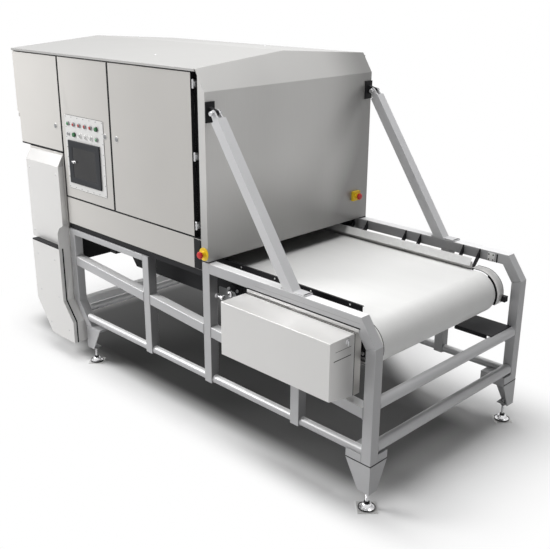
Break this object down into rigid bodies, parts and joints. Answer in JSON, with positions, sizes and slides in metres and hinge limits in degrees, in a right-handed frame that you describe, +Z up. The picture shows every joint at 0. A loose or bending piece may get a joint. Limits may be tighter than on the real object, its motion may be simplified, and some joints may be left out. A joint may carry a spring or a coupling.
{
  "type": "optical_belt_sorter",
  "caption": "Optical belt sorter: a wide belt on a square-tube frame runs under a stainless scanning cabinet with doors, control panel, side covers and slanting braces",
  "frame": {"origin": "on the floor, at the centre of the four anchor holes in the base plates", "axes": "+X along the belt towards the infeed end, +Y towards the far side, +Z up"},
  "size_m": [3.158, 1.576, 2.112],
  "materials": {
    "frame": "satin light grey tube frame",
    "panel": "fine brushed stainless sheet",
    "dark_steel": "dark painted steel",
    "bright_steel": "polished steel fittings",
    "drum": "turned steel",
    "aluminium": "milled aluminium",
    "belt": "white food belt",
    "black_rubber": "black drive belt",
    "dark_plastic": "dark switches and screen frame",
    "green_plastic": "green push buttons",
    "yellow_plastic": "yellow emergency stop plates",
    "red_plastic": "red emergency stop heads"
  },
  "bodies": {
    "frame": {"near_posts": "frame", "far_posts": "frame", "outfeed_legs": "frame", "top_rails": "frame", "mid_rails": "frame", "bottom_tubes": "frame", "crossbars": "frame", "base_channels": "dark_steel", "foot_shoes": "frame", "base_plates": "bright_steel", "braces": "frame", "brace_brackets": "dark_steel", "roof": "panel", "end_hood": "panel", "outfeed_end_wall": "panel", "rear_panels": "panel", "door_frame": "dark_steel", "apron": "panel", "near_estop_base": "yellow_plastic", "far_estop_base": "yellow_plastic", "outfeed_housing": "panel", "upper_side_cover": "panel", "lower_side_cover": "panel", "belt": "belt", "conveyor_sides": "panel", "side_guards": "panel", "drum_bearings": "dark_steel", "conveyor_brackets": "dark_steel", "slider_bed": "panel", "drive_cover": "panel", "drive_back_plate": "panel", "drive_motor": "dark_steel", "drive_belt": "black_rubber", "scanner_unit": "dark_steel", "ejector_bar": "aluminium", "product_chute": "panel"},
    "left_door": {"left_door": "panel"},
    "control_door": {"control_door": "panel", "control_plate": "panel", "operator_screen": "dark_plastic"},
    "main_door": {"main_door": "panel"},
    "left_door_lock": {"left_door_lock": "bright_steel"},
    "control_door_lock": {"control_door_lock": "bright_steel"},
    "main_door_lock": {"main_door_lock": "bright_steel"},
    "start_button": {"start_button": "green_plastic"},
    "reset_button": {"reset_button": "green_plastic"},
    "feed_selector": {"feed_selector": "dark_plastic"},
    "reject_selector": {"reject_selector": "dark_plastic"},
    "light_selector": {"light_selector": "dark_plastic"},
    "key_switch": {"key_switch": "bright_steel"},
    "near_estop_button": {"near_estop_button": "red_plastic"},
    "far_estop_button": {"far_estop_button": "red_plastic"},
    "head_drum": {"head_drum": "drum"},
    "tension_drum": {"tension_drum": "drum"},
    "discharge_drum": {"discharge_drum": "drum"},
    "motor_pulley": {"motor_pulley": "drum"},
    "near_infeed_foot": {"near_infeed_foot": "bright_steel"},
    "far_infeed_foot": {"far_infeed_foot": "bright_steel"},
    "near_outfeed_foot": {"near_outfeed_foot": "bright_steel"},
    "far_outfeed_foot": {"far_outfeed_foot": "bright_steel"}
  },
  "joints": [
    {"name": "left_door_turn", "type": "hinge", "parent": "frame", "child": "left_door", "pos_m": [-1.889, -0.672, 1.74], "axis": [0, 0, -1], "range_deg": [0, 110]},
    {"name": "control_door_turn", "type": "hinge", "parent": "frame", "child": "control_door", "pos_m": [-1.3325, -0.672, 1.6], "axis": [0, 0, -1], "range_deg": [0, 100]},
    {"name": "main_door_turn", "type": "hinge", "parent": "frame", "child": "main_door", "pos_m": [-0.056, -0.672, 1.6], "axis": [0, 0, 1], "range_deg": [0, 110]},
    {"name": "left_door_lock_turn", "type": "hinge", "parent": "left_door", "child": "left_door_lock", "pos_m": [-1.417, -0.68, 1.602], "axis": [0, 1, 0], "range_deg": [0, 90]},
    {"name": "control_door_lock_turn", "type": "hinge", "parent": "control_door", "child": "control_door_lock", "pos_m": [-0.862, -0.68, 1.602], "axis": [0, 1, 0], "range_deg": [0, 90]},
    {"name": "main_door_lock_turn", "type": "hinge", "parent": "main_door", "child": "main_door_lock", "pos_m": [-0.742, -0.68, 1.602], "axis": [0, 1, 0], "range_deg": [0, 90]},
    {"name": "start_button_push", "type": "slide", "parent": "control_door", "child": "start_button", "axis": [0, 1, 0], "range_m": [0, 0.003], "stiffness_N_per_m": 400},
    {"name": "reset_button_push", "type": "slide", "parent": "control_door", "child": "reset_button", "axis": [0, 1, 0], "range_m": [0, 0.003], "stiffness_N_per_m": 400},
    {"name": "feed_selector_turn", "type": "hinge", "parent": "control_door", "child": "feed_selector", "pos_m": [-1.133, -0.683, 1.573], "axis": [0, 1, 0], "range_deg": [-45, 45]},
    {"name": "reject_selector_turn", "type": "hinge", "parent": "control_door", "child": "reject_selector", "pos_m": [-1.0705, -0.683, 1.573], "axis": [0, 1, 0], "range_deg": [-45, 45]},
    {"name": "light_selector_turn", "type": "hinge", "parent": "control_door", "child": "light_selector", "pos_m": [-1.008, -0.683, 1.573], "axis": [0, 1, 0], "range_deg": [-45, 45]},
    {"name": "key_switch_turn", "type": "hinge", "parent": "control_door", "child": "key_switch", "pos_m": [-1.258, -0.683, 1.573], "axis": [0, 1, 0], "range_deg": [0, 90]},
    {"name": "near_estop_button_push", "type": "slide", "parent": "frame", "child": "near_estop_button", "axis": [0, 1, 0], "range_m": [0, 0.004]},
    {"name": "far_estop_button_push", "type": "slide", "parent": "frame", "child": "far_estop_button", "axis": [-1, 0, 0], "range_m": [0, 0.004]},
    {"name": "head_drum_turn", "type": "hinge", "parent": "frame", "child": "head_drum", "pos_m": [1.021, 0, 0.808], "axis": [0, 1, 0], "continuous": true},
    {"name": "tension_drum_turn", "type": "hinge", "parent": "frame", "child": "tension_drum", "pos_m": [0.121, 0, 0.82068], "axis": [0, 1, 0], "continuous": true},
    {"name": "discharge_drum_turn", "type": "hinge", "parent": "frame", "child": "discharge_drum", "pos_m": [-0.828, 0, 0.868], "axis": [0, 1, 0], "continuous": true},
    {"name": "motor_pulley_turn", "type": "hinge", "parent": "frame", "child": "motor_pulley", "pos_m": [0.52, -0.736, 0.808], "axis": [0, 1, 0], "continuous": true},
    {"name": "near_infeed_foot_turn", "type": "hinge", "parent": "frame", "child": "near_infeed_foot", "pos_m": [1.19, -0.64, 0.06], "axis": [0, 0, 1], "continuous": true},
    {"name": "near_outfeed_foot_turn", "type": "hinge", "parent": "frame", "child": "near_outfeed_foot", "pos_m": [-1.19, -0.64, 0.06], "axis": [0, 0, 1], "continuous": true},
    {"name": "far_infeed_foot_turn", "type": "hinge", "parent": "frame", "child": "far_infeed_foot", "pos_m": [1.19, 0.64, 0.06], "axis": [0, 0, 1], "continuous": true},
    {"name": "far_outfeed_foot_turn", "type": "hinge", "parent": "frame", "child": "far_outfeed_foot", "pos_m": [-1.19, 0.64, 0.06], "axis": [0, 0, 1], "continuous": true}
  ],
  "couplings": [
    {"joint": "tension_drum_turn", "follows": "head_drum_turn", "ratio": 1.6529},
    {"joint": "discharge_drum_turn", "follows": "head_drum_turn", "ratio": 2.0772},
    {"joint": "motor_pulley_turn", "follows": "head_drum_turn", "ratio": 2}
  ]
}
